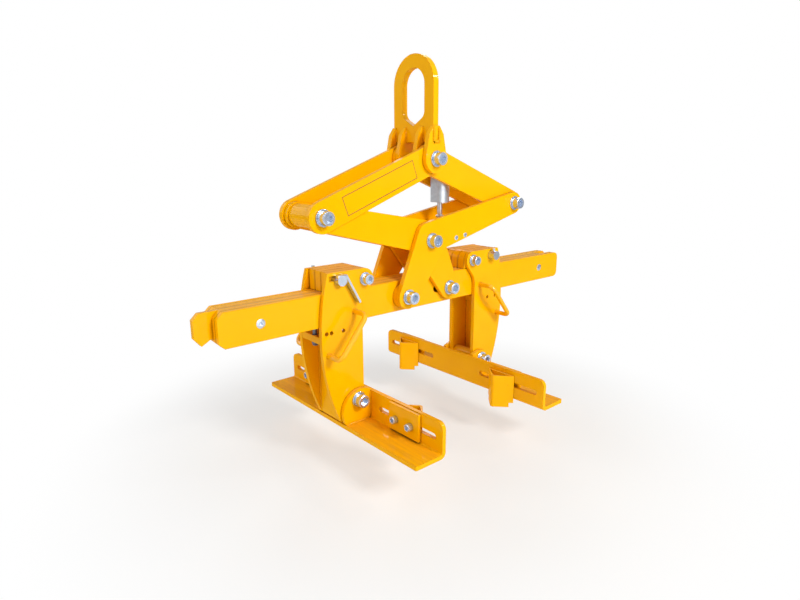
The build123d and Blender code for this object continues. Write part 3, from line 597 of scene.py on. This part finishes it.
def studio_floor():
    """Matt white floor under the hanging lifter; away from it the floor turns to plain white."""
    material, tree, output = new_finish("matt_white_floor")
    place = add(tree, "ShaderNodeTexCoord").outputs["Object"]
    away = add(tree, "ShaderNodeVectorMath", {0: place}, operation="LENGTH")
    fade = add(tree, "ShaderNodeMapRange", {"Value": away.outputs["Value"], "From Min": 0.45, "From Max": 0.95,
                                            "To Min": 0.45}, interpolation_type="SMOOTHSTEP")
    seen = add(tree, "ShaderNodeLightPath").outputs["Is Camera Ray"]
    white = add(tree, "ShaderNodeMath", {0: seen, 1: fade.outputs["Result"]}, operation="MULTIPLY")
    matt = add(tree, "ShaderNodeBsdfPrincipled", {"Base Color": colour("#EEEEEC"), "Roughness": 0.9})
    bright = add(tree, "ShaderNodeEmission", {"Color": colour("#FFFFFF")})
    mixed = add(tree, "ShaderNodeMixShader", {0: white.outputs["Value"], 1: matt.outputs["BSDF"],
                                              2: bright.outputs["Emission"]})
    tree.links.new(mixed.outputs["Shader"], output.inputs["Surface"])

    half = 12.0
    mesh = bpy.data.meshes.new("floor")
    mesh.from_pydata([(-half, -half, 0), (half, -half, 0), (half, half, 0), (-half, half, 0)], [], [(0, 1, 2, 3)])
    mesh.materials.append(material)
    floor = bpy.data.objects.new("floor", mesh)
    floor.location.z = cad_box[0].z - FLOOR_DROP * MM
    bpy.context.scene.collection.objects.link(floor)


def studio_world(level, mirrored):
    """Surroundings that are white as seen, pale grey as mirrored, and a low even light for everything else."""
    world = bpy.data.worlds.new("studio")
    world.use_nodes = True
    tree = world.node_tree
    tree.nodes.clear()
    ray = add(tree, "ShaderNodeLightPath").outputs
    strength = add(tree, "ShaderNodeMapRange", {"Value": ray["Is Glossy Ray"], "To Min": level, "To Max": mirrored})
    strength = add(tree, "ShaderNodeMath", {0: strength.outputs["Result"], 1: ray["Is Camera Ray"]},
                   operation="MAXIMUM")
    sky = add(tree, "ShaderNodeBackground", {"Color": colour("#FFFFFF"), "Strength": strength.outputs["Value"]})
    add(tree, "ShaderNodeOutputWorld", {"Surface": sky.outputs["Background"]})
    bpy.context.scene.world = world


def lamp(name, place, size, power):
    """Square lamp aimed at the middle of the lifter."""
    light = bpy.data.lights.new(name, "AREA")
    light.size = size
    light.energy = power
    holder = bpy.data.objects.new(name, light)
    holder.location = place
    aim = (cad_box[0] + cad_box[1]) / 2
    holder.rotation_euler = (aim - Vector(place)).to_track_quat("-Z", "Y").to_euler()
    holder.visible_camera = False
    bpy.context.scene.collection.objects.link(holder)


def camera():
    """Camera at the photograph's angle, from a fit to the lifter's pins, bars and pads."""
    lens = bpy.data.cameras.new("camera")
    lens.sensor_width = 36.0
    lens.lens = 25.52
    lens.clip_start = 0.05
    yaw, pitch, roll = (math.radians(angle) for angle in (-40.65, 13.79, -0.28))
    ahead = Vector((-math.sin(yaw) * math.cos(pitch), math.cos(yaw) * math.cos(pitch), -math.sin(pitch)))
    level = Vector((math.cos(yaw), math.sin(yaw), 0))
    above = level.cross(ahead)
    right = level * math.cos(roll) + above * math.sin(roll)
    up = above * math.cos(roll) - level * math.sin(roll)
    holder = bpy.data.objects.new("camera", lens)
    turn = Matrix((right, up, -ahead)).transposed().to_4x4()
    holder.matrix_world = Matrix.Translation((-0.96055, -1.05816, -0.21228)) @ turn
    bpy.context.scene.collection.objects.link(holder)
    bpy.context.scene.camera = holder


studio_floor()
studio_world(0.14, 0.65)
lamp("front_lamp", (0.1, -2.7, 1.15), 0.7, 58)
lamp("top_lamp", (-0.4, -0.7, 2.0), 1.4, 6)
lamp("left_lamp", (-2.6, 0.4, 0.5), 2.0, 27)
lamp("back_lamp", (-1.1, 2.8, 0.9), 2.0, 24)
lamp("right_lamp", (2.2, 2.2, 1.6), 1.6, 32)
lamp("low_lamp", (-0.13, -2.4, 0.1), 2.0, 18)
lamp("glint_lamp", (1.6, -1.5, 0.9), 0.16, 5)
camera()
bpy.context.scene.view_settings.view_transform = "Standard"
